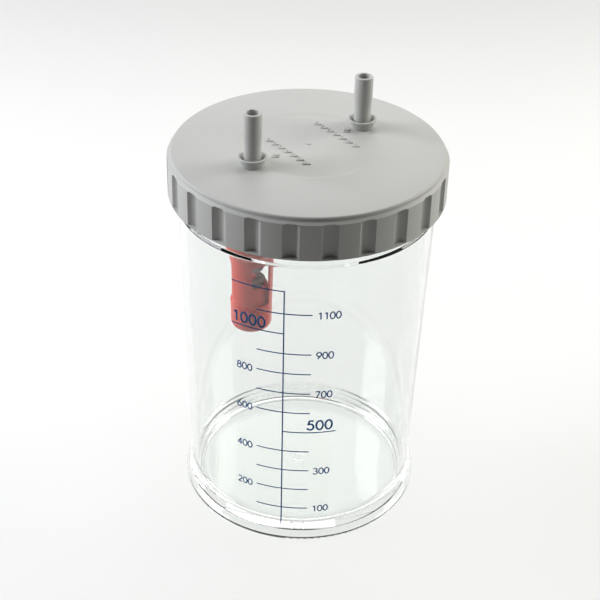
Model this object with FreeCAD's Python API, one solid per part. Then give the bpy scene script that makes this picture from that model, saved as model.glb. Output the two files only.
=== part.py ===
import FreeCAD, Part
import math
import os

# A one-litre suction canister: a clear jar, a screw lid with two hose spigots, and an overflow
# valve under the vacuum spigot. Millimetres, +Z up, origin at the centre of the foot.
# The printed scale faces -Y, and the patient spigot stands at port_azimuth from +X.

# Jar
jar_height = 178.4
foot_projection = 3.4
foot_height = 4.0
foot_rounding = 1.6
foot_ring_width = 5.0
foot_recess = 2.2
wall_bottom_radius = 53.9
wall_draft_deg = 1.56
wall_thickness = 2.8
floor_thickness = 2.8
floor_corner_radius = 5.0
cove_height = 9.0
cove_radius = 11.0
shoulder_height = 155.0
shoulder_rise = 1.2
neck_wall = 1.9
gate_radius = 3.4
gate_ring_height = 0.5

# Thread between jar and lid
thread_depth = 1.0
thread_clearance = 0.35
thread_pitch = 6.0
thread_turns = 1.5

# Lid
skirt_length = 23.4
lid_wall = 1.85
lid_plate = 2.5
lid_edge_rounding = 1.8
grip_count = 24
groove_depth = 2.3
groove_radius = 2.7
groove_lip = 1.2
groove_top_drop = 4.1
pad_projection = 1.5
pad_top_drop = 4.7
pad_bevel = 0.55
dish_radius = 30.5
dish_depth = 0.5
dish_slope_width = 2.4
gate_mark_radius = 1.9
gate_mark_height = 0.35
plug_rib_length = 4.8
plug_rib_width = 1.6
plug_rib_clearance = 0.7

# Gasket
gasket_thickness = 1.8
gasket_side_clearance = 0.25

# Spigots
port_azimuth = 48.0
port_circle_radius = 30.9
spigot_length = 23.6
spigot_radius = 4.0
spigot_head_radius = 4.5
spigot_head_length = 7.5
spigot_cone_length = 4.5
spigot_rim_rounding = 0.7
spigot_bore_radius = 2.7
collar_radius = 6.6
collar_height = 4.3
collar_wall = 1.35
collar_rounding = 0.6
collar_groove_depth = 2.4

# Underside of the lid
nozzle_length = 48.7
nozzle_radius = 5.5
nozzle_bore_radius = 3.0
socket_length = 37.2
socket_radius = 10.3
socket_wall = 2.0
drip_tube_length = 14.0
drip_tube_radius = 5.0
drip_tube_bevel = 4.0

# Valve cage
cage_depth = 42.0
cage_inner_radius = 8.1
cage_wall = 1.1
cage_floor = 1.6
cage_draft_deg = 1.0
cage_corner_radius = 3.2
cage_collar_overlap = 14.0
cage_collar_wall = 1.4
cage_fit_clearance = 0.05
cage_flare_length = 3.2
cage_lead_in = 0.9
cage_bead_projection = 0.7
cage_bead_height = 1.6
window_count = 3
window_azimuth = -50.0
window_angle_deg = 57.0
window_height = 22.0
window_sill = 14.0
window_corner_radius = 1.5
drain_radius = 2.5

# Float and its seal
float_height = 21.4
float_clearance = 0.25
float_rib_projection = 0.5
float_rib_width = 1.4
float_rib_count = 3
float_edge_rounding = 1.2
seal_thickness = 2.2
seal_radius = 6.2
seal_lip_width = 1.2
seal_lip_drop = 0.5
seal_stud_radius = 1.7
seal_stud_head_radius = 2.3
seal_stud_head_height = 1.4
seal_fit_clearance = 0.05
seat_gap = 0.05

# Radii that follow from the jar's wall
wall_growth = math.tan(math.radians(wall_draft_deg))
foot_radius = wall_bottom_radius + foot_projection
neck_inner_radius = wall_bottom_radius + shoulder_height * wall_growth - wall_thickness
neck_radius = neck_inner_radius + neck_wall
skirt_inner_radius = neck_radius + thread_depth + thread_clearance
groove_floor_radius = skirt_inner_radius + lid_wall
pad_radius = groove_floor_radius + groove_depth
band_radius = pad_radius - pad_projection
plug_radius = neck_inner_radius - plug_rib_clearance

# Levels that follow from the jar's rim
floor_top = foot_recess + floor_thickness
plate_under = jar_height + gasket_thickness
lid_top = plate_under + lid_plate
skirt_bottom = lid_top - skirt_length
socket_end = plate_under - socket_length
nozzle_end = plate_under - nozzle_length
cage_bottom = socket_end - cage_depth
float_bottom = cage_bottom + cage_floor
float_top = float_bottom + float_height
seal_top = float_top + seal_thickness
float_travel = nozzle_end - seal_top - seat_gap
lid_rise = thread_pitch * thread_turns


def vec(x, y, z=0.0):
    return FreeCAD.Vector(x, y, z)


def rounded_wire(corners, place):
    """A closed wire through corners (a, b, rounding), with place(a, b) giving each point in space."""
    points = [place(a, b) for a, b, rounding in corners]
    starts = []
    ends = []
    arcs = []
    for i, (a, b, rounding) in enumerate(corners):
        here = points[i]
        back = (points[i - 1] - here).normalize()
        ahead = (points[(i + 1) % len(points)] - here).normalize()
        if not rounding:
            starts.append(here)
            ends.append(here)
            arcs.append(None)
            continue
        half = back.getAngle(ahead) / 2
        reach = rounding / math.tan(half)
        middle = (back + ahead).normalize()
        centre = here + middle * (rounding / math.sin(half))
        starts.append(here + back * reach)
        ends.append(here + ahead * reach)
        arcs.append(Part.Arc(starts[-1], centre - middle * rounding, ends[-1]).toShape())
    edges = []
    for i, arc in enumerate(arcs):
        if arc:
            edges.append(arc)
        edges.append(Part.LineSegment(ends[i], starts[(i + 1) % len(points)]).toShape())
    return Part.Wire(edges)


def turned(corners, x=0.0, y=0.0):
    """The solid turned about a vertical axis at (x, y) from corners (radius, height, rounding)."""
    wire = rounded_wire(corners, lambda a, b: vec(a, 0, b))
    solid = Part.Face(wire).revolve(vec(0, 0, 0), vec(0, 0, 1), 360)
    solid.translate(vec(x, y, 0))
    return solid


def rod(radius, low, high, x=0.0, y=0.0):
    return Part.makeCylinder(radius, high - low, vec(x, y, low))


def around(shape, count, start_deg=0.0, x=0.0, y=0.0):
    """Copies of shape, turned evenly about the vertical axis at (x, y)."""
    copies = []
    for i in range(count):
        copy = shape.copy()
        copy.rotate(vec(x, y, 0), vec(0, 0, 1), start_deg + 360.0 * i / count)
        copies.append(copy)
    return copies


def on_lid(shape):
    """Turns a shape that was made with the spigots on the X axis to where they stand."""
    turned_shape = shape.copy()
    turned_shape.rotate(vec(0, 0, 0), vec(0, 0, 1), port_azimuth)
    return turned_shape


# Jar: one moulding with a foot ring, a tapered wall, a small shoulder and a plain neck
def make_jar():
    cove_top = foot_height + cove_height
    inner_bottom = wall_bottom_radius - wall_thickness + floor_top * wall_growth
    body = turned([
        (0, foot_recess, 0),
        (foot_radius - foot_ring_width - foot_recess / 2, foot_recess, 0.8),
        (foot_radius - foot_ring_width, 0, 0.5),
        (foot_radius, 0, foot_rounding),
        (foot_radius, foot_height, foot_rounding / 2),
        (wall_bottom_radius + cove_top * wall_growth, cove_top, cove_radius),
        (wall_bottom_radius + shoulder_height * wall_growth, shoulder_height, 0.8),
        (neck_radius, shoulder_height + shoulder_rise, 0.4),
        (neck_radius, jar_height, 0.5),
        (neck_inner_radius, jar_height, 0.5),
        (neck_inner_radius, shoulder_height, 0),
        (inner_bottom, floor_top, floor_corner_radius),
        (0, floor_top, 0),
    ])
    gate_ring = turned([
        (gate_radius - 1.1, floor_top - 0.2, 0),
        (gate_radius, floor_top - 0.2, 0),
        (gate_radius, floor_top + gate_ring_height, 0.3),
        (gate_radius - 1.1, floor_top + gate_ring_height, 0.3),
    ])
    return body.fuse(gate_ring).removeSplitter()


# Lid: grip pads and the grooves between them
def make_groove():
    """One groove in the skirt, on the X axis: round-nosed, with a bevel along each pad edge."""
    centre = groove_floor_radius + groove_radius
    low = skirt_bottom + groove_lip
    high = lid_top - groove_top_drop
    ball = Part.makeSphere(groove_radius, vec(centre, 0, high))
    mouth = math.sqrt(groove_radius ** 2 - (centre - pad_radius + pad_bevel) ** 2)
    reach = 2.0
    bevel = Part.Face(Part.makePolygon([
        vec(pad_radius - pad_bevel, -mouth, low),
        vec(pad_radius + reach, -mouth - pad_bevel - reach, low),
        vec(pad_radius + reach, mouth + pad_bevel + reach, low),
        vec(pad_radius - pad_bevel, mouth, low),
        vec(pad_radius - pad_bevel, -mouth, low),
    ])).extrude(vec(0, 0, high - low))
    return rod(groove_radius, low, high, centre).fuse([ball, bevel])


def make_lid_shell():
    pad_top = lid_top - pad_top_drop
    shell = turned([
        (0, lid_top - dish_depth, 0),
        (dish_radius - dish_slope_width / 2, lid_top - dish_depth, 2.0),
        (dish_radius + dish_slope_width / 2, lid_top, 2.0),
        (band_radius, lid_top, lid_edge_rounding),
        (band_radius, pad_top + pad_bevel, 0.3),
        (pad_radius - pad_bevel, pad_top, 0),
        (pad_radius, pad_top - pad_bevel, 0),
        (pad_radius, skirt_bottom, 0.4),
        (skirt_inner_radius, skirt_bottom, 0.4),
        (skirt_inner_radius, plate_under, 0.3),
        (plug_radius, plate_under, 0.3),
        (plug_radius, plate_under - plug_rib_length, 0.4),
        (plug_radius - plug_rib_width, plate_under - plug_rib_length, 0.4),
        (plug_radius - plug_rib_width, plate_under, 0.3),
        (0, plate_under, 0),
    ])
    return shell.cut(around(make_groove(), grip_count))


def make_spigot(x):
    """A hose spigot with a swollen head, standing in a collar with a groove round it."""
    sunk = lid_top - lid_plate / 2
    top = lid_top + spigot_length
    head_low = top - spigot_head_length
    collar_top = lid_top + collar_height
    return turned([
        (0, sunk, 0),
        (collar_radius, sunk, 0),
        (collar_radius, collar_top, collar_rounding),
        (collar_radius - collar_wall, collar_top, collar_rounding),
        (collar_radius - collar_wall, collar_top - collar_groove_depth, 0.3),
        (spigot_radius, collar_top - collar_groove_depth, 0.3),
        (spigot_radius, head_low - spigot_cone_length, 3.0),
        (spigot_head_radius, head_low, 3.0),
        (spigot_head_radius, top, spigot_rim_rounding),
        (0, top, 0),
    ], x)


def make_socket(x):
    """The tube that carries the valve cage, round the nozzle that the float closes."""
    sunk = plate_under + lid_plate / 2
    tube = turned([
        (socket_radius - socket_wall, sunk, 0),
        (socket_radius - socket_wall, socket_end, 0.4),
        (socket_radius, socket_end, 0.4),
        (socket_radius, sunk, 0),
    ], x)
    nozzle = turned([
        (0, sunk, 0),
        (0, nozzle_end, 0),
        (nozzle_radius, nozzle_end, 0.6),
        (nozzle_radius, sunk, 0),
    ], x)
    return tube.fuse(nozzle)


def make_drip_tube(x):
    """A short tube under the patient spigot, cut slanting so that liquid falls away from the valve."""
    sunk = plate_under + lid_plate / 2
    low = plate_under - drip_tube_length
    tube = rod(drip_tube_radius, low, sunk, x)
    slant = Part.Face(Part.makePolygon([
        vec(x - drip_tube_radius, -2 * drip_tube_radius, low + drip_tube_bevel),
        vec(x + drip_tube_radius, -2 * drip_tube_radius, low),
        vec(x - drip_tube_radius, -2 * drip_tube_radius, low),
        vec(x - drip_tube_radius, -2 * drip_tube_radius, low + drip_tube_bevel),
    ])).extrude(vec(0, 4 * drip_tube_radius, 0))
    return tube.cut(slant)


def make_lid():
    patient = port_circle_radius
    vacuum = -port_circle_radius
    dish_floor = lid_top - dish_depth
    gate_mark = turned([
        (0, dish_floor - 0.2, 0),
        (gate_mark_radius, dish_floor - 0.2, 0),
        (gate_mark_radius, dish_floor + gate_mark_height, 0.2),
        (0, dish_floor + gate_mark_height, 0),
    ])
    lid = make_lid_shell().fuse([
        gate_mark,
        make_spigot(patient),
        make_spigot(vacuum),
        make_socket(vacuum),
        make_drip_tube(patient),
    ])
    top = lid_top + spigot_length
    bores = [
        rod(spigot_bore_radius, plate_under, top + 1, vacuum),
        rod(nozzle_bore_radius, nozzle_end - 1, plate_under, vacuum),
        rod(spigot_bore_radius, plate_under, top + 1, patient),
        rod(nozzle_bore_radius, plate_under - drip_tube_length - 1, plate_under, patient),
    ]
    return on_lid(lid.cut(bores).removeSplitter())


# Gasket: a flat ring between the lid's plate and the rim of the jar
def make_gasket():
    return turned([
        (plug_radius + gasket_side_clearance, jar_height, 0.4),
        (skirt_inner_radius - gasket_side_clearance, jar_height, 0.4),
        (skirt_inner_radius - gasket_side_clearance, plate_under, 0.4),
        (plug_radius + gasket_side_clearance, plate_under, 0.4),
    ])


# Valve cage: a cup with windows, pushed onto the socket under the vacuum spigot
def make_window(x):
    """A cutter for one window: a rounded rectangle, pushed outwards from the cage's axis."""
    outside = cage_inner_radius + cage_wall
    half_width = outside * math.sin(math.radians(window_angle_deg / 2))
    low = cage_bottom + window_sill
    high = low + window_height
    wire = rounded_wire([
        (-half_width, low, window_corner_radius),
        (half_width, low, window_corner_radius),
        (half_width, high, window_corner_radius),
        (-half_width, high, window_corner_radius),
    ], lambda a, b: vec(x, a, b))
    return Part.Face(wire).extrude(vec(2 * outside, 0, 0))


def make_cage():
    x = -port_circle_radius
    growth = math.tan(math.radians(cage_draft_deg))
    ledge = socket_end
    flare_low = ledge - cage_flare_length
    inner_top = cage_inner_radius + (ledge - cage_bottom) * growth
    outer_top = cage_inner_radius + cage_wall + (flare_low - cage_bottom) * growth
    collar_inner = socket_radius + cage_fit_clearance
    collar_outer = collar_inner + cage_collar_wall
    collar_top = ledge + cage_collar_overlap
    bead_low = collar_top - cage_bead_height
    cup = turned([
        (0, cage_bottom, 0),
        (cage_inner_radius + cage_wall, cage_bottom, cage_corner_radius),
        (outer_top, flare_low, 0),
        (collar_outer, ledge, 1.0),
        (collar_outer, bead_low, 0),
        (collar_outer + cage_bead_projection, bead_low + cage_bead_height / 3, 0.3),
        (collar_outer + cage_bead_projection, collar_top, 0.5),
        (collar_inner + cage_lead_in / 2, collar_top, 0),
        (collar_inner, collar_top - cage_lead_in, 0),
        (collar_inner, ledge, 0),
        (inner_top, ledge, 0),
        (cage_inner_radius, float_bottom, cage_corner_radius - cage_wall),
        (0, float_bottom, 0),
    ], x)
    cutters = around(make_window(x), window_count, window_azimuth - port_azimuth, x)
    cutters.append(rod(drain_radius, cage_bottom - 1, float_bottom + 1, x))
    return on_lid(cup.cut(cutters).removeSplitter())


# Float: a closed capsule with guide ribs and a stud for the seal
def make_float():
    x = -port_circle_radius
    rib_radius = cage_inner_radius - float_clearance
    body_radius = rib_radius - float_rib_projection
    stud_shoulder = seal_top
    float_solid = turned([
        (0, float_bottom, 0),
        (body_radius, float_bottom, cage_corner_radius - cage_wall),
        (body_radius, float_top, float_edge_rounding),
        (seal_stud_radius, float_top, 0),
        (seal_stud_radius, stud_shoulder, 0),
        (seal_stud_head_radius, stud_shoulder, 0),
        (seal_stud_radius, stud_shoulder + seal_stud_head_height, 0.4),
        (0, stud_shoulder + seal_stud_head_height, 0),
    ], x)
    rib_low = float_bottom + cage_corner_radius
    rib = Part.makeBox(
        rib_radius - body_radius / 2, float_rib_width, float_top - float_edge_rounding - rib_low,
        vec(x + body_radius / 2, -float_rib_width / 2, rib_low))
    ribs = around(rib, float_rib_count, window_azimuth - port_azimuth + 180.0 / window_count, x)
    return on_lid(float_solid.fuse(ribs).removeSplitter())


# Float seal: a rubber disc with a raised lip, held by the float's stud
def make_float_seal():
    x = -port_circle_radius
    hole = seal_stud_radius + seal_fit_clearance
    head_hole = seal_stud_head_radius + seal_fit_clearance
    return on_lid(turned([
        (hole, float_top, 0),
        (seal_radius, float_top, 0.3),
        (seal_radius, seal_top, 0.5),
        (seal_radius - seal_lip_width - 1.0, seal_top, 0.3),
        (head_hole + 0.4, seal_top - seal_lip_drop, 0),
        (hole, seal_top - seal_lip_drop, 0),
    ], x))


def main():
    os.makedirs("parts", exist_ok=True)
    nodes = {
        "jar": make_jar(),
        "lid": make_lid(),
        "lid_gasket": make_gasket(),
        "valve_cage": make_cage(),
        "valve_float": make_float(),
        "float_seal": make_float_seal(),
    }
    for name, shape in nodes.items():
        solids = shape.Solids
        print(name, "solids", len(solids), "valid", shape.isValid(), "volume", round(shape.Volume))
        if len(solids) == 1:
            shape = solids[0]
        shape.exportStep("parts/" + name + ".step")
    print("lid top", round(lid_top, 3), "skirt bottom", round(skirt_bottom, 3))
    print("pad radius", round(pad_radius, 3), "neck", round(neck_inner_radius, 3), round(neck_radius, 3))
    print("cage bottom", round(cage_bottom, 3), "float travel", round(float_travel, 3), "lid rise", lid_rise)


main()
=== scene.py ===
import math

import bmesh
import bpy
from mathutils import Matrix, Vector


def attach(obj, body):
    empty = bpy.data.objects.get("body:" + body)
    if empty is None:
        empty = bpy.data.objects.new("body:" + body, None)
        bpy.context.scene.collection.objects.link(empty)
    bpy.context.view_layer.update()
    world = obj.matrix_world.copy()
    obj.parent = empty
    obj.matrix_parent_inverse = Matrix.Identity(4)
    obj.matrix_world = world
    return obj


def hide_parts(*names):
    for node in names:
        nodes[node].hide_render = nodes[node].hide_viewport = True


# A one-litre suction canister: clear jar with a printed scale, grey screw lid, red float valve.
# Sizes in the dictionaries are millimetres unless a note says otherwise.

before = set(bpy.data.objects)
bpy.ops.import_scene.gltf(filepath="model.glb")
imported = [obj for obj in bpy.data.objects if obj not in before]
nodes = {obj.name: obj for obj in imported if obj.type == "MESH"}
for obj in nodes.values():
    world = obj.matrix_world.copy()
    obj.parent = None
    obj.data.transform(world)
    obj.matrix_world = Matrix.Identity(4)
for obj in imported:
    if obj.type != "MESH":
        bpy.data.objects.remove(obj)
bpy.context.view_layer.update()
mm = 0.001
print("frame loaded:", ", ".join(sorted(nodes)))


# helpers

def linear(hexColour, alpha=1.0):
    values = [int(hexColour[i:i + 2], 16) / 255 for i in (1, 3, 5)]
    return [v / 12.92 if v <= 0.04045 else ((v + 0.055) / 1.055) ** 2.4 for v in values] + [alpha]


def addNode(tree, kind, inputs=None, **settings):
    node = tree.nodes.new(kind)
    for name, value in settings.items():
        setattr(node, name, value)
    for name, value in (inputs or {}).items():
        if isinstance(value, bpy.types.NodeSocket):
            tree.links.new(value, node.inputs[name])
        else:
            node.inputs[name].default_value = value
    return node


# one step of arithmetic in a tree
def calc(tree, operation, *values, clamp=False):
    return addNode(tree, "ShaderNodeMath", dict(enumerate(values)), operation=operation,
                   use_clamp=clamp).outputs[0]


def newMaterial(name):
    material = bpy.data.materials.new(name)
    material.use_nodes = True
    material.node_tree.nodes.clear()
    return material, material.node_tree


# noise in the piece's own coordinates; spread is its wavelength in millimetres
def noise(tree, spread, detail):
    place = addNode(tree, "ShaderNodeTexCoord")
    return addNode(tree, "ShaderNodeTexNoise", {
        "Vector": place.outputs["Object"], "Scale": 1 / (spread * mm), "Detail": detail}).outputs["Fac"]


def blend(tree, share, first, second):
    return addNode(tree, "ShaderNodeMix", {
        0: share, 6: linear(first), 7: linear(second)}, data_type="RGBA").outputs[2]


def principled(tree, values):
    return addNode(tree, "ShaderNodeBsdfPrincipled", values).outputs["BSDF"]


def finishMaterial(material, shader):
    addNode(material.node_tree, "ShaderNodeOutputMaterial", {"Surface": shader})
    return material


def newTree(name, inputs):
    tree = bpy.data.node_groups.new(name, "GeometryNodeTree")
    for label, kind in inputs.items():
        tree.interface.new_socket(label, in_out="INPUT", socket_type="NodeSocket" + kind)
    tree.interface.new_socket("Geometry", in_out="OUTPUT", socket_type="NodeSocketGeometry")
    return tree, tree.nodes.new("NodeGroupInput").outputs


def moveTo(tree, geometry, x, y, z):
    spot = addNode(tree, "ShaderNodeCombineXYZ", {0: x, 1: y, 2: z})
    return addNode(tree, "GeometryNodeSetPosition", {
        "Geometry": geometry, "Position": spot.outputs[0]}).outputs[0]


def split(tree):
    place = addNode(tree, "GeometryNodeInputPosition")
    return addNode(tree, "ShaderNodeSeparateXYZ", {0: place.outputs[0]}).outputs


# sweeps a flat curve into a closed ridge with the profile's form, turned level
def sweep(tree, curve, profile, scale):
    level = addNode(tree, "GeometryNodeSetCurveNormal", {"Curve": curve}, mode="Z_UP")
    return addNode(tree, "GeometryNodeCurveToMesh", {
        "Curve": level.outputs[0], "Profile Curve": profile, "Scale": scale,
        "Fill Caps": True}).outputs[0]


def finishTree(tree, geometry, material):
    real = addNode(tree, "GeometryNodeRealizeInstances", {0: geometry})
    done = addNode(tree, "GeometryNodeSetMaterial", {"Geometry": real.outputs[0], "Material": material})
    addNode(tree, "NodeGroupOutput", {"Geometry": done.outputs[0]})
    return tree


# runs a tree on a carrier object and keeps the result as a plain mesh object
def grow(name, tree, values, carrier=None):
    carrier = carrier or bpy.data.objects.new("carrier", bpy.data.meshes.new("carrier"))
    bpy.context.scene.collection.objects.link(carrier)
    modifier = carrier.modifiers.new("nodes", "NODES")
    modifier.node_group = tree
    for item in tree.interface.items_tree:
        if item.in_out == "INPUT" and item.name in values:
            modifier[item.identifier] = values[item.name]
    graph = bpy.context.evaluated_depsgraph_get()
    mesh = bpy.data.meshes.new_from_object(carrier.evaluated_get(graph), depsgraph=graph)
    bpy.data.objects.remove(carrier)
    mesh.name = name
    piece = bpy.data.objects.new(name, mesh)
    bpy.context.scene.collection.objects.link(piece)
    print(name, len(mesh.polygons), "faces")
    return piece


def dress(node, material):
    nodes[node].data.materials.clear()
    nodes[node].data.materials.append(material)


# A closed outline through corners (radius, height, rounding), as points.
def roundOutline(corners):
    points = []
    for i, (a, b, rounding) in enumerate(corners):
        here = Vector((a, b))
        if not rounding:
            points.append(here)
            continue
        back = (Vector(corners[i - 1][:2]) - here).normalized()
        ahead = (Vector(corners[(i + 1) % len(corners)][:2]) - here).normalized()
        half = back.angle(ahead) / 2
        centre = here + (back + ahead).normalized() * (rounding / math.sin(half))
        first = here + back * (rounding / math.tan(half)) - centre
        last = here + ahead * (rounding / math.tan(half)) - centre
        start = math.atan2(first.y, first.x)
        turned = (math.atan2(last.y, last.x) - start + math.pi) % (2 * math.pi) - math.pi
        # a point at each 15 degrees, or closer on a wide rounding
        steps = max(2, math.ceil(abs(turned) / math.radians(15)),
                    math.ceil(abs(turned) * rounding / 2.5))
        for step in range(steps + 1):
            turn = start + turned * step / steps
            points.append(centre + Vector((math.cos(turn), math.sin(turn))) * rounding)
    return points


# Turns an outline about the upright axis through (x, y); the result is a closed mesh.
def turnedMesh(name, corners, x=0.0, y=0.0, steps=96):
    outline = roundOutline(corners)
    vertices, rings, faces = [], [], []
    for a, b in outline:
        ring = [len(vertices) + (i if a > 1e-4 else 0) for i in range(steps)]
        for i in range(steps if a > 1e-4 else 1):
            turn = 2 * math.pi * i / steps
            vertices.append(((x + a * math.cos(turn)) * mm, (y + a * math.sin(turn)) * mm, b * mm))
        rings.append(ring)
    for ring, following in zip(rings, rings[1:] + rings[:1]):
        for i in range(steps):
            j = (i + 1) % steps
            face = list(dict.fromkeys([ring[i], ring[j], following[j], following[i]]))
            if len(face) > 2:
                faces.append(face)
    mesh = bpy.data.meshes.new(name)
    mesh.from_pydata(vertices, [], faces)
    tidyMesh(mesh)
    return mesh


# welds a mesh and turns its faces outwards
def tidyMesh(mesh):
    work = bmesh.new()
    work.from_mesh(mesh)
    bmesh.ops.remove_doubles(work, verts=work.verts, dist=0.0005 * mm)
    bmesh.ops.delete(work, geom=[v for v in work.verts if not v.link_faces], context="VERTS")
    bmesh.ops.recalc_face_normals(work, faces=work.faces)
    work.to_mesh(mesh)
    work.free()


def joinMeshes(name, meshes):
    work = bmesh.new()
    for mesh in meshes:
        work.from_mesh(mesh)
    joined = bpy.data.meshes.new(name)
    work.to_mesh(joined)
    work.free()
    return joined


# smooth shading, with a sharp line where two faces meet at more than the angle
def smooth(mesh, degrees=38):
    mesh.polygons.foreach_set("use_smooth", [True] * len(mesh.polygons))
    mesh.set_sharp_from_angle(angle=math.radians(degrees))


def addPiece(name, mesh, material):
    mesh.materials.clear()
    mesh.materials.append(material)
    piece = bpy.data.objects.new(name, mesh)
    bpy.context.scene.collection.objects.link(piece)
    print(name, len(mesh.polygons), "faces")
    return piece


# materials

# Clear polycarbonate, injection moulded in a polished mould: glassy, almost without tint, with the
# faint unevenness of the melt's flow. Lamps and scattered light pass straight through it, so that
# its shadow stays light.
def clearPolycarbonate():
    material, tree = newMaterial("clearPolycarbonate")
    flow = noise(tree, 1 / 0.045, 1.0)      # 0.045 waves to the millimetre
    bump = addNode(tree, "ShaderNodeBump", {"Height": flow, "Strength": 0.03, "Distance": 0.4 * mm})
    plastic = principled(tree, {
        "Base Color": linear("#f5f7f6"),
        "Roughness": 0.0,
        "IOR": 1.585,
        "Transmission Weight": 1.0,
        "Normal": bump.outputs["Normal"],
    })
    through = addNode(tree, "ShaderNodeBsdfTransparent", {"Color": linear("#fcfdfc")})
    path = addNode(tree, "ShaderNodeLightPath")
    unseen = calc(tree, "MAXIMUM", path.outputs["Is Shadow Ray"], path.outputs["Is Diffuse Ray"])
    mix = addNode(tree, "ShaderNodeMixShader", {0: unseen, 1: plastic, 2: through.outputs["BSDF"]})
    return finishMaterial(material, mix.outputs[0])


# Polypropylene from a spark-eroded mould: opaque warm grey with a fine satin grain of about 0.25 mm.
def greyPolypropylene():
    material, tree = newMaterial("greyPolypropylene")
    grain = noise(tree, 0.25, 2.0)
    cloud = noise(tree, 30, 2.0)
    shine = addNode(tree, "ShaderNodeMapRange", {"Value": grain, "To Min": 0.42, "To Max": 0.56})
    bump = addNode(tree, "ShaderNodeBump", {"Height": grain, "Strength": 0.12, "Distance": 0.05 * mm})
    return finishMaterial(material, principled(tree, {
        "Base Color": blend(tree, cloud, "#babbb7", "#c1c1bd"),
        "Roughness": shine.outputs["Result"],
        "IOR": 1.49,
        "Normal": bump.outputs["Normal"],
    }))


# Polypropylene with red pigment, moulded thin: milky, so a little light glows through the wall.
def redPolypropylene():
    material, tree = newMaterial("redPolypropylene")
    return finishMaterial(material, principled(tree, {
        "Base Color": blend(tree, noise(tree, 9, 3.0), "#ff3e28", "#ff4c36"),
        "Roughness": 0.28,
        "IOR": 1.49,
        "Subsurface Weight": 0.4,
        "Subsurface Radius": (1.0, 0.12, 0.08),
        "Subsurface Scale": 5 * mm,
    }))


# The float is the same polypropylene, but thick enough to look solid.
def floatPolypropylene():
    material, tree = newMaterial("floatPolypropylene")
    return finishMaterial(material, principled(tree, {
        "Base Color": blend(tree, noise(tree, 6, 2.0), "#fb4a36", "#ff5a46"),
        "Roughness": 0.35,
        "IOR": 1.49,
    }))


# Silicone rubber, moulded: pale, matte, slightly dusty to the eye.
def paleSilicone():
    material, tree = newMaterial("paleSilicone")
    return finishMaterial(material, principled(tree, {
        "Base Color": blend(tree, noise(tree, 0.6, 3.0), "#dad8d2", "#e4e2dc"),
        "Roughness": 0.7,
        "IOR": 1.41,
    }))


# The float's seal: rubber in a brownish grey, darkened as painted shade for the dim inside of the cage.
def sealRubber():
    material, tree = newMaterial("sealRubber")
    return finishMaterial(material, principled(tree, {
        # the darkness of this grey is painted shade
        "Base Color": blend(tree, noise(tree, 0.6, 3.0), "#7c665d", "#8a736a"),
        "Roughness": 0.6,
        "IOR": 1.5,
    }))


# Screen-printing ink, a thin blue film: light from behind shines through it and takes its colour.
def screenInk():
    material, tree = newMaterial("screenInk")
    film = principled(tree, {
        "Base Color": blend(tree, noise(tree, 0.3, 2.0), "#1f66a0", "#2874b0"),
        "Roughness": 0.45,
        "IOR": 1.5,
    })
    through = addNode(tree, "ShaderNodeBsdfTransparent", {"Color": linear("#5a92c4")})
    mix = addNode(tree, "ShaderNodeMixShader", {0: 0.55, 1: through.outputs["BSDF"], 2: film})
    return finishMaterial(material, mix.outputs[0])


materials = {
    "jar": clearPolycarbonate(),
    "lid": greyPolypropylene(),
    "cage": redPolypropylene(),
    "float": floatPolypropylene(),
    "rubber": paleSilicone(),
    "seal": sealRubber(),
    "ink": screenInk(),
}
for node, material in (
        ("jar", "jar"), ("lid", "lid"), ("lid_gasket", "rubber"),
        ("valve_cage", "cage"), ("valve_float", "float"), ("float_seal", "seal")):
    dress(node, materials[material])
print("materials made")


# printed scale

scalePrint = {
    "wallBottomRadius": 53.9,
    "wallDraftDeg": 1.56,
    "standOff": 0.005,      # from the wall to the film's back
    "filmThickness": 0.03,
    "lineWidth": 0.6,
    "lineBottom": 7.5,
    "topLine": 142.9,
    "firstMark": 18.3,      # height of the 100 ml mark
    "firstStep": 11.97,     # to the next mark; the jar widens, so each step is a little shorter
    "stepShrink": 0.15,
    "markCount": 11,
    "markReach": 12.3,
    "longReach": 24.5,
    "stepAlong": 1.2,       # longest straight piece of a line that bends round the wall
    "stepUp": 40.0,         # and of the upright line, which doesn't bend
    "stepNumeral": 1.0,
    "largeLift": 1.2,       # from a line to the large number above it
    "small": {"height": 4.2, "advance": 2.68, "stroke": 0.62, "reach": 14.3, "drop": 0.5},
    "large": {"height": 6.2, "advance": 4.15, "stroke": 0.95, "reach": 10.8},
}


def arc(x, y, across, up, start, end, steps=22):
    turn = [math.radians(start + (end - start) * i / steps) for i in range(steps + 1)]
    return [(x + across * math.cos(a), y + up * math.sin(a)) for a in turn]


# centre lines of plain geometric numerals, 0 to 1 high and about 0.6 wide
numerals = {
    "0": [arc(0.29, 0.5, 0.29, 0.5, 0, 360)],
    "1": [[(0.12, 0.80), (0.36, 0.98)], [(0.36, 1.0), (0.36, 0.0)]],
    "2": [arc(0.28, 0.72, 0.26, 0.28, 165, -38) + [(0.02, 0.0)], [(0.0, 0.0), (0.57, 0.0)]],
    "3": [arc(0.27, 0.76, 0.23, 0.24, 155, -90), arc(0.27, 0.26, 0.28, 0.26, 90, -158)],
    "4": [[(0.44, 1.0), (0.0, 0.26)], [(0.0, 0.26), (0.60, 0.26)], [(0.44, 1.0), (0.44, 0.0)]],
    "5": [[(0.17, 1.0), (0.54, 1.0)], [(0.19, 1.0), (0.08, 0.53)],
          arc(0.26, 0.33, 0.29, 0.33, 128, -155)],
    "6": [arc(0.29, 0.3, 0.29, 0.3, 0, 360), [(0.45, 1.0), (0.05, 0.44)]],
    "7": [[(0.0, 1.0), (0.57, 1.0)], [(0.55, 1.0), (0.15, 0.0)]],
    "8": [arc(0.29, 0.77, 0.22, 0.23, 0, 360), arc(0.29, 0.27, 0.29, 0.27, 0, 360)],
    "9": [arc(0.29, 0.7, 0.29, 0.3, 0, 360), [(0.13, 0.0), (0.53, 0.56)]],
}


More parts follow.
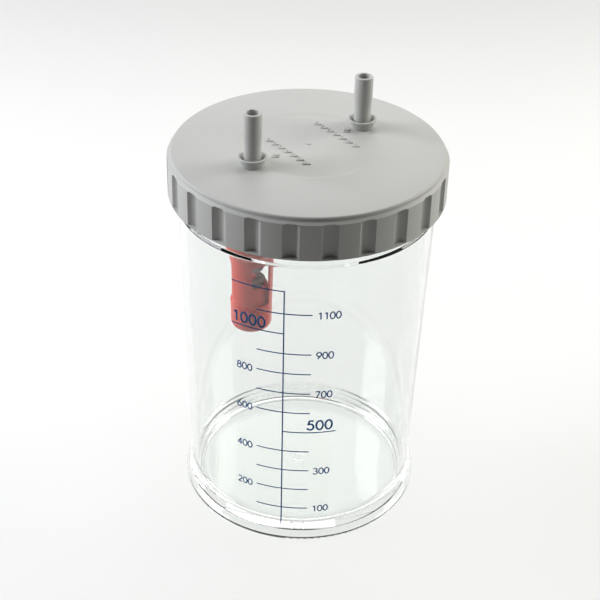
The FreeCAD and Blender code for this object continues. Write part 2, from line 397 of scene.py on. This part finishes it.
# adds one stroke, flat: x runs round the wall from the line, y is the height
def addStroke(curve, points, width, step):
    dense = [points[0]]
    for here, there in zip(points, points[1:]):
        pieces = max(1, math.ceil(math.dist(here, there) / step))
        for i in range(1, pieces + 1):
            dense.append([a + (b - a) * i / pieces for a, b in zip(here, there)])
    closed = math.dist(points[0], points[-1]) < 1e-6
    if closed:
        dense.pop()
    spline = curve.splines.new("POLY")
    spline.points.add(len(dense) - 1)
    for point, (x, y) in zip(spline.points, dense):
        point.co = (x * mm, y * mm, 0, 1)
        point.radius = width * mm
    spline.use_cyclic_u = closed


def addNumber(curve, number, left, middle, style, step):
    size = style["height"] - style["stroke"]
    for i, digit in enumerate(str(number)):
        for stroke in numerals[digit]:
            points = [(left + i * style["advance"] + style["stroke"] / 2 + x * size,
                       middle - size / 2 + y * size) for x, y in stroke]
            addStroke(curve, points, style["stroke"], step)


def drawScale(size):
    curve = bpy.data.curves.new("scaleStrokes", "CURVE")
    curve.dimensions = "3D"
    wide, step, top = size["lineWidth"], size["stepAlong"], size["topLine"]
    small, large = size["small"], size["large"]
    addStroke(curve, [(0, size["lineBottom"]), (0, top + wide / 2)], wide, size["stepUp"])
    addStroke(curve, [(-size["longReach"], top), (0, top)], wide, step)
    for i in range(size["markCount"]):
        volume = 100 * (i + 1)
        height = size["firstMark"] + i * size["firstStep"] - i * (i - 1) / 2 * size["stepShrink"]
        above, beside = height + large["height"] / 2 + size["largeLift"], height - small["drop"]
        left, right = size["markReach"], size["markReach"]
        start, middle, style = small["reach"], beside, small
        if volume == 1000:
            left, right = size["longReach"], 0
            start, middle, style = -left, above, large
        elif volume == 500:
            left, right = 0, size["longReach"]
            start, middle, style = large["reach"], above, large
        elif i % 2:
            start = -small["reach"] - small["advance"] * len(str(volume))
        addNumber(curve, volume, start, middle, style, size["stepNumeral"])
        addStroke(curve, [(-left, height), (right, height)], wide, step)
    return bpy.data.objects.new("scaleStrokes", curve)


# Sweeps the strokes into a flat film, joins them and lays the film round the tapered wall.
def wallPrintTree():
    tree, given = newTree("wallPrint", {
        "Strokes": "Geometry", "Bottom Radius": "Float", "Growth": "Float",
        "Thickness": "Float", "Ink": "Material"})
    bar = addNode(tree, "GeometryNodeCurvePrimitiveQuadrilateral", {"Width": 1.0, "Height": 1.0})
    thick = addNode(tree, "GeometryNodeInputRadius")
    strokes = sweep(tree, given["Strokes"], bar.outputs[0], thick.outputs[0])
    part = split(tree)
    above = calc(tree, "GREATER_THAN", part["Z"], 0.0)
    lift = calc(tree, "MULTIPLY", above, given["Thickness"])
    flat = moveTo(tree, strokes, part["X"], part["Y"], lift)
    joined = addNode(tree, "GeometryNodeMeshBoolean", {
        "Mesh 2": flat, "Self Intersection": True}, operation="UNION", solver="EXACT")
    film = split(tree)
    wall = calc(tree, "MULTIPLY_ADD", film["Y"], given["Growth"], given["Bottom Radius"])
    radius = calc(tree, "ADD", wall, film["Z"])
    angle = calc(tree, "DIVIDE", film["X"], wall)
    across = calc(tree, "MULTIPLY", calc(tree, "SINE", angle), radius)
    deep = calc(tree, "MULTIPLY", calc(tree, "COSINE", angle), radius)
    bent = moveTo(tree, joined.outputs[0], across, calc(tree, "MULTIPLY", deep, -1.0), film["Y"])
    return finishTree(tree, bent, given["Ink"])


scaleFilm = grow("printed_scale", wallPrintTree(), {
    "Bottom Radius": (scalePrint["wallBottomRadius"] + scalePrint["standOff"]) * mm,
    "Growth": math.tan(math.radians(scalePrint["wallDraftDeg"])),
    "Thickness": scalePrint["filmThickness"] * mm,
    "Ink": materials["ink"],
}, drawScale(scalePrint))
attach(scaleFilm, "jar_body")


# lid

lidSize = {
    "top": 181.5,           # edge of the plate
    "crown": 2.3,           # rise of the dome in the middle
    "crownMiddle": 46.0,
    "crownRounding": 300.0,
    "plate": 2.5,
    "edgeRounding": 1.0,
    "bandRadius": 61.08,
    "padRadius": 62.48,
    "padDrop": 2.3,
    "padBevel": 0.55,
    "dishRadius": 30.5,
    "dishSlope": 2.4,
    "dishDepth": 0.3,
    "dishRounding": 2.0,
    "rimRounding": 0.4,     # of lower rims
    "cornerRounding": 0.3,  # of the other corners
    "skirtBottom": 161.5,
    "skirtInside": 58.57,
    "seat": 180.22,         # just above the gasket
    "plugRadius": 54.62,
    "plugWidth": 1.6,
    "plugBottom": 175.4,
    "gateMarkRadius": 1.1,
    "gateMarkHeight": 0.25,
    "gateMarkRounding": 0.2,
    "gripCount": 24,
    "gripTurn": 2.7,        # degrees from the X axis to the first groove
    "grooveRadius": 3.8,
    "grooveFloor": 60.18,
    "grooveLip": 0.7,
    "grooveDrop": 3.2,
    "grooveTopRise": 0.6,   # of the groove's own end above its bevels' end
    "grooveTopRounding": 1.4,
    "bevelReach": 2.0,      # how far the bevel's cutter stands out of the skirt
}

port = {
    "azimuth": 48.0,
    "circle": 30.9,
    "bore": 2.7,
    "spigot": 3.8,
    "head": 4.15,
    "headLength": 9.5,
    "coneLength": 5.5,
    "top": 207.6,
    "rimRounding": 0.7,
    "boreRounding": 0.3,
    "coneRounding": 3.0,
    "collar": 6.6,
    "collarBase": 5.4,
    "collarHeight": 4.0,
    "collarWall": 1.2,
    "collarRounding": 0.4,
    "lipHeight": 1.0,
    "lip": 0.6,
    "moatDepth": 2.4,
    "moatGap": 0.6,
    "moatRounding": 0.2,
    "socket": 10.3,
    "socketWall": 2.0,
    "socketEnd": 143.0,
    "nozzle": 5.5,
    "nozzleBore": 3.0,
    "nozzleEnd": 131.5,
    "nozzleRounding": 0.6,
    "drip": 5.0,
    "dripEnd": 166.2,
    "dripSlant": 4.0,
    "cutLow": 175.0,        # the bores' cutters
    "cutHigh": 190.0,
}


# how far the domed plate stands above its own edge
def crown(radius):
    return lidSize["crown"] * (1 - (radius / lidSize["bandRadius"]) ** 2)


# height of the dish's middle
dishMiddle = lidSize["top"] + crown(0) - lidSize["dishDepth"]


def makeLidShell(size):
    top, under = size["top"], size["top"] - size["plate"]
    inner = size["dishRadius"] - size["dishSlope"] / 2
    outer = size["dishRadius"] + size["dishSlope"] / 2
    middle, bend, dish = size["crownMiddle"], size["crownRounding"], size["dishRounding"]
    rim, corner = size["rimRounding"], size["cornerRounding"]
    plugInside = size["plugRadius"] - size["plugWidth"]
    pad, bevel, padTop = size["padRadius"], size["padBevel"], top - size["padDrop"]
    return turnedMesh("lidShell", [
        (0, top + crown(0) - size["dishDepth"], 0),
        (inner, top + crown(inner) - size["dishDepth"], dish),
        (outer, top + crown(outer), dish),
        (middle, top + crown(middle), bend),
        (size["bandRadius"], top, size["edgeRounding"]),
        (size["bandRadius"], padTop + bevel, corner),
        (pad - bevel, padTop, 0),
        (pad, padTop - bevel, 0),
        (pad, size["skirtBottom"], rim),
        (size["skirtInside"], size["skirtBottom"], rim),
        (size["skirtInside"], size["seat"], corner),
        (size["plugRadius"], size["seat"], corner),
        (size["plugRadius"], size["plugBottom"], rim),
        (plugInside, size["plugBottom"], rim),
        (plugInside, under + crown(plugInside), corner),
        (middle, under + crown(middle), bend),
        (outer, under + crown(outer), dish),
        (inner, under + crown(inner) - size["dishDepth"], dish),
        (0, under + crown(0) - size["dishDepth"], 0),
    ], steps=10 * size["gripCount"])


# the round-nosed groove between two grip pads, and the bevel along both of its edges
def makeGrooveCutters(size):
    radius = size["grooveRadius"]
    centre = size["grooveFloor"] + radius
    low, high = size["skirtBottom"] + size["grooveLip"], size["top"] - size["grooveDrop"]
    noseTop = high + size["grooveTopRise"]
    nose = turnedMesh("grooveNose", [
        (0, low, 0), (radius, low, 0), (radius, noseTop, size["grooveTopRounding"]), (0, noseTop, 0)],
        centre, 0, 40)
    edge = size["padRadius"] - size["padBevel"]
    mouth = math.sqrt(radius ** 2 - (centre - edge) ** 2)
    far, wide = size["padRadius"] + size["bevelReach"], mouth + size["padBevel"] + size["bevelReach"]
    flat = [(edge, -mouth), (far, -wide), (far, wide), (edge, mouth)]
    bevel = bpy.data.meshes.new("grooveBevel")
    bevel.from_pydata([(x * mm, y * mm, z * mm) for z in (low, high) for x, y in flat], [], [
        (3, 2, 1, 0), (4, 5, 6, 7), (0, 1, 5, 4), (1, 2, 6, 5), (2, 3, 7, 6), (3, 0, 4, 7)])
    tidyMesh(bevel)
    return nose, bevel


def portPlace(size, side):
    turn = math.radians(size["azimuth"])
    return side * size["circle"] * math.cos(turn), side * size["circle"] * math.sin(turn)


def cutAway(tree, geometry, cutter):
    return addNode(tree, "GeometryNodeMeshBoolean", {"Mesh 1": geometry, "Mesh 2": cutter},
                   operation="DIFFERENCE", solver="MANIFOLD").outputs[0]


# Cuts the grooves round the skirt and the bores through the plate.
def lidTree():
    tree, given = newTree("lidMoulding", {
        "Shell": "Geometry", "Groove": "Object", "Groove Bevel": "Object", "Bores": "Object",
        "Grip Count": "Int", "Grip Turn": "Float", "Plastic": "Material"})
    spot = addNode(tree, "GeometryNodeMeshLine", {"Count": given["Grip Count"], "Offset": (0, 0, 0)})
    order = addNode(tree, "GeometryNodeInputIndex")
    share = calc(tree, "DIVIDE", order.outputs[0], given["Grip Count"])
    angle = calc(tree, "MULTIPLY_ADD", share, 2 * math.pi, given["Grip Turn"])
    turn = addNode(tree, "ShaderNodeCombineXYZ", {2: angle})
    cut = given["Shell"]
    for label in ("Groove", "Groove Bevel"):
        cutter = addNode(tree, "GeometryNodeObjectInfo", {"Object": given[label]})
        ring = addNode(tree, "GeometryNodeInstanceOnPoints", {
            "Points": spot.outputs[0], "Instance": cutter.outputs["Geometry"],
            "Rotation": turn.outputs[0]})
        real = addNode(tree, "GeometryNodeRealizeInstances", {0: ring.outputs[0]})
        cut = cutAway(tree, cut, real.outputs[0])
    bores = addNode(tree, "GeometryNodeObjectInfo", {"Object": given["Bores"]})
    return finishTree(tree, cutAway(tree, cut, bores.outputs["Geometry"]), given["Plastic"])


# one spigot in its collar
def makeSpigot(size, side):
    level = lidSize["top"] + crown(size["circle"])
    core = level - lidSize["plate"] / 2
    collarTop = level + size["collarHeight"]
    lipLow, moat = collarTop - size["lipHeight"], collarTop - size["moatDepth"]
    headLow = size["top"] - size["headLength"]
    fine, cone = size["moatRounding"], size["coneRounding"]
    return turnedMesh("spigot", [
        (size["bore"], core, 0),
        (size["collarBase"], core, 0),
        (size["collar"] - size["lip"], lipLow, fine),
        (size["collar"], lipLow + size["lip"] / 2, fine),
        (size["collar"], collarTop, size["collarRounding"]),
        (size["collar"] - size["collarWall"], collarTop, size["collarRounding"]),
        (size["spigot"] + size["moatGap"], moat, fine),
        (size["spigot"], moat, fine),
        (size["spigot"], headLow - size["coneLength"], cone),
        (size["head"], headLow, cone),
        (size["head"], size["top"], size["rimRounding"]),
        (size["bore"], size["top"], size["boreRounding"]),
    ], *portPlace(size, side))


def makeUndersideTubes(size):
    core = lidSize["top"] + crown(size["circle"]) - lidSize["plate"] / 2
    place = portPlace(size, -1)
    socket = turnedMesh("socket", [
        (size["socket"] - size["socketWall"], core, 0),
        (size["socket"] - size["socketWall"], size["socketEnd"], size["collarRounding"]),
        (size["socket"], size["socketEnd"], size["collarRounding"]),
        (size["socket"], core, 0)], *place)
    nozzle = turnedMesh("nozzle", [
        (size["nozzleBore"], core, 0),
        (size["nozzleBore"], size["nozzleEnd"], 0),
        (size["nozzle"], size["nozzleEnd"], size["nozzleRounding"]),
        (size["nozzle"], core, 0)], *place)
    drip = turnedMesh("dripTube", [
        (size["nozzleBore"], core, 0),
        (size["nozzleBore"], size["dripEnd"], 0),
        (size["drip"], size["dripEnd"], 0),
        (size["drip"], core, 0)], *portPlace(size, 1))
    # the lower end is cut slanting, highest towards the middle of the lid; its rims lie at dripEnd
    ahead = Vector(portPlace(size, 1)).normalized()
    for vertex in drip.vertices:
        if vertex.co.z < (size["dripEnd"] + 0.1) * mm:
            out = (vertex.co.xy.dot(ahead) / mm - size["circle"]) / size["drip"]
            vertex.co.z += size["dripSlant"] * (1 - out) / 2 * mm
    return [socket, nozzle, drip]


def makeBores(size):
    low, high = size["cutLow"], size["cutHigh"]
    outline = [(0, low, 0), (size["bore"], low, 0), (size["bore"], high, 0), (0, high, 0)]
    rods = [turnedMesh("bore", outline, *portPlace(size, side)) for side in (-1, 1)]
    return joinMeshes("bores", rods)


# a raised disc in the middle of the dish
def makeGateMark(size):
    low, high = dishMiddle - size["gateMarkRounding"], dishMiddle + size["gateMarkHeight"]
    return turnedMesh("gateMark", [
        (0, low, 0), (size["gateMarkRadius"], low, 0),
        (size["gateMarkRadius"], high, size["gateMarkRounding"]), (0, high, 0)], steps=48)


def makeLid():
    grooveNose, grooveBevel = makeGrooveCutters(lidSize)
    cutters = [bpy.data.objects.new(mesh.name, mesh)
               for mesh in (grooveNose, grooveBevel, makeBores(port))]
    shell = grow("lid_moulding", lidTree(), {
        "Groove": cutters[0],
        "Groove Bevel": cutters[1],
        "Bores": cutters[2],
        "Grip Count": lidSize["gripCount"],
        "Grip Turn": math.radians(lidSize["gripTurn"]),
        "Plastic": materials["lid"],
    }, bpy.data.objects.new("lidShell", makeLidShell(lidSize)))
    for cutter in cutters:
        bpy.data.objects.remove(cutter)
    smooth(shell.data)
    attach(shell, "lid_body")
    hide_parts("lid")
    for name, meshes in (
            ("vacuum_spigot", [makeSpigot(port, -1)]),
            ("patient_spigot", [makeSpigot(port, 1)]),
            ("lid_gate_mark", [makeGateMark(lidSize)]),
            ("lid_tubes", makeUndersideTubes(port))):
        mesh = joinMeshes(name, meshes)
        smooth(mesh)
        piece = addPiece(name, mesh, materials["lid"])
        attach(piece, "lid_body")


makeLid()


# marks on the lid

flowMarks = {
    "domeRadius": 61.076,   # where the lid has fallen by its crown
    "count": 7,
    "spacing": 4.4,
    "reach": 1.75,          # half the width of one chevron
    "rise": 2.6,
    "stroke": 0.7,
    "height": 0.34,
    "arrowTail": -2.6,
    "arrowTip": 0.9,
    "stepStroke": 9.0,      # longer than a stroke, so each one stays a single straight piece
    "vacuum": {"row": 12.2, "arrow": 19.1},     # from the lid's middle towards the vacuum spigot
    "patient": {"row": -15.4, "arrow": -21.2},
}


# one chevron that points along +Y, as a flat stroke
def drawChevron(size):
    curve = bpy.data.curves.new("chevron", "CURVE")
    curve.dimensions = "3D"
    reach, rise = size["reach"], size["rise"]
    addStroke(curve, [(-reach, -rise / 2), (0, rise / 2), (reach, -rise / 2)],
              size["stroke"] / 2, size["stepStroke"])
    return bpy.data.objects.new("chevron", curve)


def joinTwo(tree, first, second):
    both = addNode(tree, "GeometryNodeJoinGeometry")
    tree.links.new(first, both.inputs[0])
    tree.links.new(second, both.inputs[0])
    return both.outputs[0]


# A row of raised chevrons with one arrow beside it, turned to a port and draped over the lid's dome.
def flowMarkTree():
    tree, given = newTree("flowMarks", {
        "Chevron": "Geometry", "Count": "Int", "Spacing": "Float", "Row Place": "Float",
        "Arrow Place": "Float", "Arrow Tail": "Float", "Arrow Tip": "Float", "Azimuth": "Float",
        "Height": "Float", "Stroke": "Float", "Level": "Float", "Dome Drop": "Float",
        "Dome Radius": "Float", "Plastic": "Material"})
    circle = addNode(tree, "GeometryNodeCurvePrimitiveCircle", {"Resolution": 10, "Radius": 1.0})
    thick = addNode(tree, "GeometryNodeInputRadius")
    ridge = sweep(tree, given["Chevron"], circle.outputs[0], thick.outputs[0])
    span = calc(tree, "MULTIPLY", calc(tree, "SUBTRACT", given["Count"], 1.0), given["Spacing"])
    left = calc(tree, "MULTIPLY", span, -0.5)
    start = addNode(tree, "ShaderNodeCombineXYZ", {0: left, 1: given["Row Place"]})
    step = addNode(tree, "ShaderNodeCombineXYZ", {0: given["Spacing"]})
    row = addNode(tree, "GeometryNodeMeshLine", {
        "Count": given["Count"], "Start Location": start.outputs[0], "Offset": step.outputs[0]})
    repeated = addNode(tree, "GeometryNodeInstanceOnPoints", {
        "Points": row.outputs[0], "Instance": ridge})
    tail = addNode(tree, "ShaderNodeCombineXYZ", {1: given["Arrow Tail"]})
    tip = addNode(tree, "ShaderNodeCombineXYZ", {1: given["Arrow Tip"]})
    shaft = addNode(tree, "GeometryNodeCurvePrimitiveLine", {
        "Start": tail.outputs[0], "End": tip.outputs[0]})
    half = calc(tree, "MULTIPLY", given["Stroke"], 0.5)
    shaftRidge = sweep(tree, shaft.outputs[0], circle.outputs[0], half)
    beside = addNode(tree, "ShaderNodeCombineXYZ", {1: given["Arrow Place"]})
    arrow = addNode(tree, "GeometryNodeTransform", {
        "Geometry": joinTwo(tree, shaftRidge, ridge), "Translation": beside.outputs[0]})
    spin = addNode(tree, "ShaderNodeCombineXYZ", {2: given["Azimuth"]})
    turned = addNode(tree, "GeometryNodeTransform", {
        "Geometry": joinTwo(tree, repeated.outputs[0], arrow.outputs[0]), "Rotation": spin.outputs[0]})
    real = addNode(tree, "GeometryNodeRealizeInstances", {0: turned.outputs[0]})
    part = split(tree)
    raised = calc(tree, "MULTIPLY", part["Z"], calc(tree, "DIVIDE", given["Height"], half))
    ground = addNode(tree, "ShaderNodeCombineXYZ", {0: part["X"], 1: part["Y"]})
    away = addNode(tree, "ShaderNodeVectorMath", {0: ground.outputs[0]}, operation="LENGTH")
    share = calc(tree, "DIVIDE", away.outputs["Value"], given["Dome Radius"])
    drop = calc(tree, "MULTIPLY", calc(tree, "POWER", share, 2.0), given["Dome Drop"])
    height = calc(tree, "ADD", calc(tree, "SUBTRACT", given["Level"], drop), raised)
    draped = moveTo(tree, real.outputs[0], part["X"], part["Y"], height)
    return finishTree(tree, draped, given["Plastic"])


markTree = flowMarkTree()
for flow in ("vacuum", "patient"):
    marks = grow(flow + "_flow_marks", markTree, {
        "Count": flowMarks["count"],
        "Spacing": flowMarks["spacing"] * mm,
        "Row Place": flowMarks[flow]["row"] * mm,
        "Arrow Place": flowMarks[flow]["arrow"] * mm,
        "Arrow Tail": flowMarks["arrowTail"] * mm,
        "Arrow Tip": flowMarks["arrowTip"] * mm,
        "Azimuth": math.radians(port["azimuth"] + 90),      # turns +Y to the vacuum spigot
        "Height": flowMarks["height"] * mm,
        "Stroke": flowMarks["stroke"] * mm,
        "Level": dishMiddle * mm,
        "Dome Drop": lidSize["crown"] * mm,
        "Dome Radius": flowMarks["domeRadius"] * mm,
        "Plastic": materials["lid"],
    }, drawChevron(flowMarks))
    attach(marks, "lid_body")


# screw threads

threads = {
    "pitch": 6.0,
    "turns": 1.5,
    "ridge": 1.0,           # how far a ridge stands out
    "fadeShare": 0.07,      # of its length at each end, down to the end's share of its height
    "endShare": 0.3,
    "neck": {
        "radius": 57.22, "start": 165.0, "body": "jar_body", "slot": "clear_polycarbonate"},
    "skirt": {
        "radius": lidSize["skirtInside"], "start": 162.8, "body": "lid_body",
        "slot": "grey_polypropylene"},
}


# A right-handed rounded ridge on a cylinder, faded out at both ends.
def threadTree():
    tree, given = newTree("screwThread", {
        "Turns": "Float", "Rise": "Float", "Radius": "Float", "Start Height": "Float",
        "Ridge": "Float", "Fade Share": "Float", "End Share": "Float", "Plastic": "Material"})
    helix = addNode(tree, "GeometryNodeCurveSpiral", {
        "Resolution": 72, "Rotations": given["Turns"], "Start Radius": given["Radius"],
        "End Radius": given["Radius"], "Height": given["Rise"], "Reverse": True})
    lift = addNode(tree, "ShaderNodeCombineXYZ", {2: given["Start Height"]})
    raised = addNode(tree, "GeometryNodeSetPosition", {
        "Geometry": helix.outputs[0], "Offset": lift.outputs[0]})
    way = addNode(tree, "GeometryNodeSplineParameter")
    rest = calc(tree, "SUBTRACT", 1.0, way.outputs["Factor"])
    nearEnd = calc(tree, "MINIMUM", way.outputs["Factor"], rest)
    fade = addNode(tree, "ShaderNodeMapRange", {
        "Value": nearEnd, "From Max": given["Fade Share"], "To Min": given["End Share"], "To Max": 1.0})
    width = calc(tree, "MULTIPLY", fade.outputs[0], given["Ridge"])
    profile = addNode(tree, "GeometryNodeCurvePrimitiveCircle", {"Resolution": 12, "Radius": 1.0})
    ridge = addNode(tree, "GeometryNodeCurveToMesh", {
        "Curve": raised.outputs[0], "Profile Curve": profile.outputs[0], "Scale": width,
        "Fill Caps": True})
    soft = addNode(tree, "GeometryNodeSetShadeSmooth", {"Geometry": ridge.outputs[0]})
    return finishTree(tree, soft.outputs[0], given["Plastic"])


helixTree = threadTree()
for part, plastic in (("neck", "jar"), ("skirt", "lid")):
    ridge = grow(part + "_thread", helixTree, {
        "Turns": threads["turns"],
        "Rise": threads["pitch"] * threads["turns"] * mm,
        "Radius": threads[part]["radius"] * mm,
        "Start Height": threads[part]["start"] * mm,
        "Ridge": threads["ridge"] * mm,
        "Fade Share": threads["fadeShare"],
        "End Share": threads["endShare"],
        "Plastic": materials[plastic],
    })
    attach(ridge, threads[part]["body"])


# studio

studio = {
    "floorSize": 3.0,       # metres, as all lengths in this dictionary
    "floorSink": 0.00002,   # a hair below the foot, so that the faces don't share a plane
    "floorGlow": 0.3,
    "skyFront": 0.03,       # the light from behind the photographer
    "skyBack": 0.5,
    "skyTurn": (-0.6, 0.4),     # from the front's light to the back's, along Y
    "view": 0.92,           # the background as the camera sees it
    "jarViewFront": 0.3,    # and through the jar, where the view turns back to the front
    "jarViewTurn": (-0.6, 0.3),
    "lamps": {              # each aims at a height on the jar's axis
        "leftLamp": {
            "place": (-0.90, -0.06, 0.59), "aim": 0.15, "size": 0.6, "power": 10.5,
            "colour": "#f7f9ff"},
        "rightLamp": {
            "place": (0.82, 0.38, 0.59), "aim": 0.15, "size": 0.6, "power": 7.3,
            "colour": "#fffdf6"},
        "backLamp": {
            "place": (0.0, 0.36, 0.46), "aim": 0.18, "size": 0.35, "power": 0.5,
            "colour": "#ffffff"},
    },
}


def makeFloor(size):
    half, low = size["floorSize"] / 2, -size["floorSink"]
    mesh = bpy.data.meshes.new("floor")
    mesh.from_pydata([(-half, -half, low), (half, -half, low), (half, half, low), (-half, half, low)],
                     [], [(0, 1, 2, 3)])
    floor = bpy.data.objects.new("floor", mesh)
    bpy.context.scene.collection.objects.link(floor)
    # White table: pale grey paint, shown white in a direct view, so that it throws little light up.
    material, tree = newMaterial("whiteTable")
    glow = addNode(tree, "ShaderNodeEmission", {
        "Color": linear("#fdfdfb"), "Strength": size["floorGlow"]})
    path = addNode(tree, "ShaderNodeLightPath")
    seen = calc(tree, "ADD", path.outputs["Is Camera Ray"], path.outputs["Is Glossy Ray"])
    inView = calc(tree, "ADD", seen, path.outputs["Is Transmission Ray"], clamp=True)
    paint = addNode(tree, "ShaderNodeBsdfDiffuse", {"Color": blend(tree, inView, "#9c9c9b", "#cdcdcc")})
    none = addNode(tree, "ShaderNodeEmission", {"Strength": 0.0})
    shown = addNode(tree, "ShaderNodeMixShader", {0: inView, 1: none.outputs[0], 2: glow.outputs[0]})
    both = addNode(tree, "ShaderNodeAddShader", {0: paint.outputs[0], 1: shown.outputs[0]})
    mesh.materials.append(finishMaterial(material, both.outputs[0]))


# A bright room behind and above, dark where the photographer stands; white to the camera and,
# with some grey in front, through the clear jar.
def makeWorld(size):
    world = bpy.data.worlds.new("studio")
    bpy.context.scene.world = world
    world.use_nodes = True
    tree = world.node_tree
    tree.nodes.clear()
    path = addNode(tree, "ShaderNodeLightPath")
    place = addNode(tree, "ShaderNodeTexCoord")
    part = addNode(tree, "ShaderNodeSeparateXYZ", {0: place.outputs["Generated"]})

    def ramp(turn, front, back):
        return addNode(tree, "ShaderNodeMapRange", {
            "Value": part.outputs["Y"], "From Min": turn[0], "From Max": turn[1],
            "To Min": front, "To Max": back}).outputs[0]

    def shine(colour, strength):
        return addNode(tree, "ShaderNodeBackground", {
            "Color": linear(colour), "Strength": strength}).outputs[0]

    room = shine("#ffffff", ramp(size["skyTurn"], size["skyFront"], size["skyBack"]))
    through = shine("#fdfdfb", ramp(size["jarViewTurn"], size["jarViewFront"], size["view"]))
    inside = addNode(tree, "ShaderNodeMixShader", {
        0: path.outputs["Is Transmission Ray"], 1: room, 2: through})
    mix = addNode(tree, "ShaderNodeMixShader", {
        0: path.outputs["Is Camera Ray"], 1: inside.outputs[0], 2: shine("#fdfdfb", size["view"])})
    addNode(tree, "ShaderNodeOutputWorld", {"Surface": mix.outputs[0]})


def makeLamp(name, size):
    data = bpy.data.lights.new(name, "AREA")
    data.size = size["size"]
    data.energy = size["power"]
    data.color = linear(size["colour"])[:3]
    lamp = bpy.data.objects.new(name, data)
    bpy.context.scene.collection.objects.link(lamp)
    lamp.location = size["place"]
    aim = Vector((0, 0, size["aim"])) - Vector(size["place"])
    lamp.rotation_euler = aim.to_track_quat("-Z", "Y").to_euler()


makeFloor(studio)
makeWorld(studio)
for name, lamp in studio["lamps"].items():
    makeLamp(name, lamp)


# camera, where the photographer stood

cameraView = {
    "lens": 83.4,
    "sensor": 36.0,
    "clipStart": 20.0,
    "distance": 546.7,
    "height": 467.2,
    "standDeg": 8.4,        # round from -Y towards +X
    "pitchDeg": 33.85,
    "yawDeg": -0.2,
    "rollDeg": 1.56,
}


def makeCamera(view):
    data = bpy.data.cameras.new("camera")
    data.lens = view["lens"]
    data.sensor_width = view["sensor"]
    data.clip_start = view["clipStart"] * mm
    camera = bpy.data.objects.new("camera", data)
    bpy.context.scene.collection.objects.link(camera)
    stand, pitch, yaw, roll = (
        math.radians(view[key]) for key in ("standDeg", "pitchDeg", "yawDeg", "rollDeg"))
    turn = Matrix.Rotation(stand, 3, "Z")
    ahead = turn @ Vector((
        math.sin(yaw) * math.cos(pitch), math.cos(yaw) * math.cos(pitch), -math.sin(pitch)))
    right = turn @ Vector((math.cos(yaw), -math.sin(yaw), 0))
    up = right.cross(ahead)
    rolledRight = right * math.cos(roll) + up * math.sin(roll)
    rolledUp = up * math.cos(roll) - right * math.sin(roll)
    camera.matrix_world = Matrix.Translation(
        turn @ Vector((0, -view["distance"] * mm, view["height"] * mm))) @ Matrix(
        (rolledRight, rolledUp, -ahead)).transposed().to_4x4()
    bpy.context.scene.camera = camera


makeCamera(cameraView)
bpy.context.scene.view_settings.view_transform = "Standard"
# Light turns many times inside the clear foot before it comes out. What shines through the jar is
# already counted by its see-through shadow, so caustics stay off.
for setting, value in (
        ("caustics_refractive", False), ("caustics_reflective", False),
        ("max_bounces", 32), ("glossy_bounces", 24), ("transmission_bounces", 24)):
    setattr(bpy.context.scene.cycles, setting, value)
print("studio ready")
